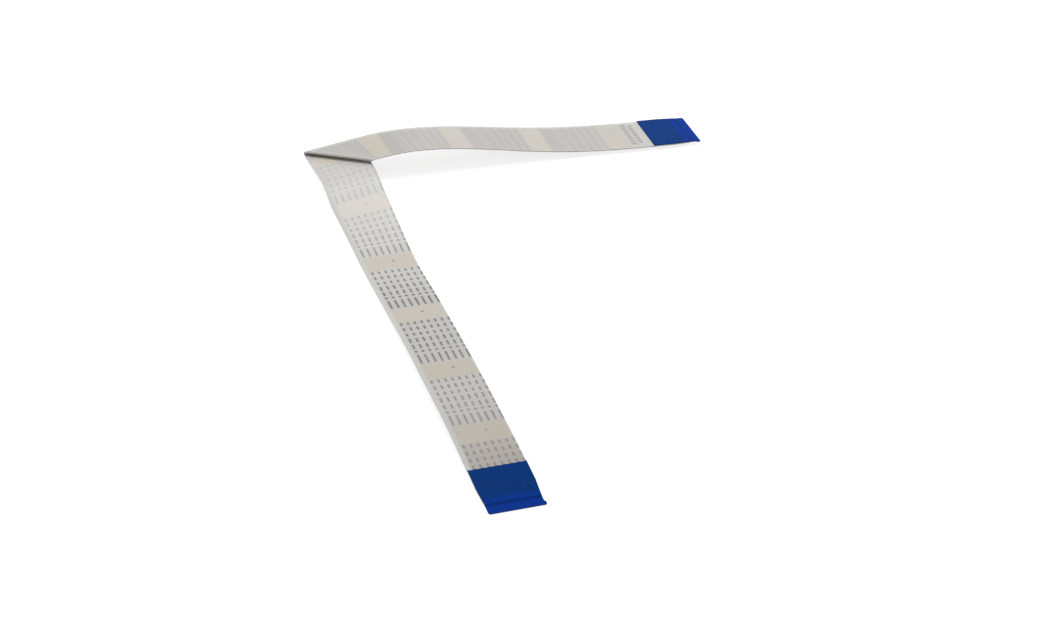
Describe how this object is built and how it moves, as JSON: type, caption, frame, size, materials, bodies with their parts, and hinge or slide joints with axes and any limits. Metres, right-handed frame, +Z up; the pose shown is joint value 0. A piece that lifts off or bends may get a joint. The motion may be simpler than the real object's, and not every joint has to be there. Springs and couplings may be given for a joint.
{
  "type": "ribbon cable",
  "caption": "Flat flexible ribbon cable with a folded corner, flat conductors sealed between two thin films, and a stiff blue plug tab at each end.",
  "frame": {"origin": "on the table, under the middle of the box that holds the cable as it lies", "axes": "+Z up from the table, -Y along the near leg towards its plug end, +X roughly along the far leg towards its plug end"},
  "size_m": [0.081, 0.1088, 0.0058],
  "materials": {
    "printed_film": "satin translucent polyester film with a print of short grey dashes",
    "plain_film": "satin translucent polyester film",
    "tinned_copper": "bright tin plating on flat copper",
    "blue_stiffener": "satin blue polyester sheet"
  },
  "bodies": {
    "root": {"top_film": "printed_film", "bottom_film": "plain_film", "conductor_01": "tinned_copper", "conductor_02": "tinned_copper", "conductor_03": "tinned_copper", "conductor_04": "tinned_copper", "conductor_05": "tinned_copper", "conductor_06": "tinned_copper", "conductor_07": "tinned_copper", "conductor_08": "tinned_copper", "conductor_09": "tinned_copper", "conductor_10": "tinned_copper", "conductor_11": "tinned_copper", "conductor_12": "tinned_copper", "conductor_13": "tinned_copper", "conductor_14": "tinned_copper", "conductor_15": "tinned_copper", "conductor_16": "tinned_copper", "conductor_17": "tinned_copper", "conductor_18": "tinned_copper", "conductor_19": "tinned_copper", "conductor_20": "tinned_copper", "stiffener_near": "blue_stiffener", "stiffener_far": "blue_stiffener"}
  },
  "joints": []
}
